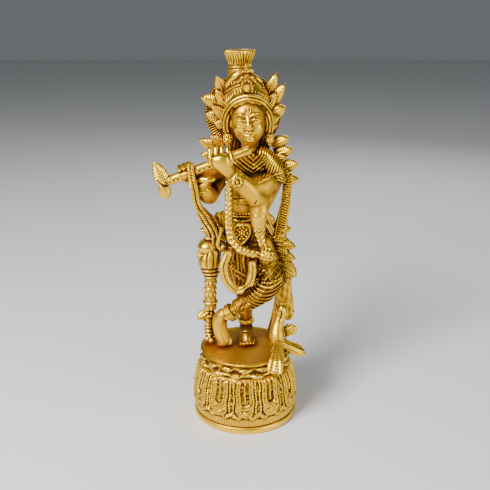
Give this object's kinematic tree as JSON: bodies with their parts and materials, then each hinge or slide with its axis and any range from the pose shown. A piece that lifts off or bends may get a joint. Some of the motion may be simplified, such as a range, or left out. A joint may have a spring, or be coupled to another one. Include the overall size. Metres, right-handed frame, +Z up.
{
  "type": "brass deity statuette",
  "caption": "Cast brass statuette of a crowned deity playing a flute with crossed legs on a round lotus pedestal, with a halo, garlands, long scarves and a peacock.",
  "frame": {"origin": "centre of the pedestal's underside, in the plane that the statuette stands on", "axes": "+Z up, the figure faces -Y, +X is the figure's own left"},
  "size_m": [0.0795, 0.0586, 0.2],
  "materials": {
    "polished_brass": "polished, dark in the creases",
    "chased_brass": "chased and rubbed back, brown patina in the cuts",
    "shaded_brass": "patinated in the folds, bright on the ridges",
    "plain_brass": "as cast or turned, dull"
  },
  "bodies": {
    "root": {"deck": "polished_brass", "standing_leg": "polished_brass", "crossing_leg": "polished_brass", "torso": "polished_brass", "head": "polished_brass", "flute": "polished_brass", "left_arm": "polished_brass", "right_arm": "polished_brass", "topknot_tie": "polished_brass", "garland_knob": "polished_brass", "elbow_sash": "polished_brass", "peacock": "polished_brass", "hip_wrap": "shaded_brass", "crossing_leg_drape": "shaded_brass", "standing_leg_drape": "shaded_brass", "front_pleats": "shaded_brass", "hair": "shaded_brass", "foot_stud": "plain_brass", "foot_nut": "plain_brass", "foot_washer": "plain_brass", "post_rivet": "plain_brass", "peacock_rivet": "plain_brass", "base_plate": "plain_brass", "halo_stay": "plain_brass", "petal_collar": "chased_brass", "lotus_pedestal": "chased_brass", "waist_belt": "chased_brass", "belt_medallion": "chased_brass", "standing_anklet": "chased_brass", "crossing_anklet": "chased_brass", "left_bracelet": "chased_brass", "right_bracelet": "chased_brass", "left_armlet": "chased_brass", "necklace": "chased_brass", "crown": "chased_brass", "crown_band": "chased_brass", "crown_plaque": "chased_brass", "topknot": "chased_brass", "right_earring": "chased_brass", "left_earring": "chased_brass", "halo": "chased_brass", "right_crown_spray": "chased_brass", "left_crown_spray": "chased_brass", "right_shoulder_spray": "chased_brass", "left_shoulder_spray": "chased_brass", "garland": "chased_brass", "garland_loop": "chased_brass", "right_scarf": "chased_brass", "right_hip_spray": "chased_brass", "right_post": "chased_brass", "right_post_tassel": "chased_brass", "left_scarf": "chased_brass", "left_hip_spray": "chased_brass", "left_post": "chased_brass", "flute_tassel": "chased_brass", "peacock_near_wing": "chased_brass", "peacock_far_wing": "chased_brass"}
  },
  "joints": []
}
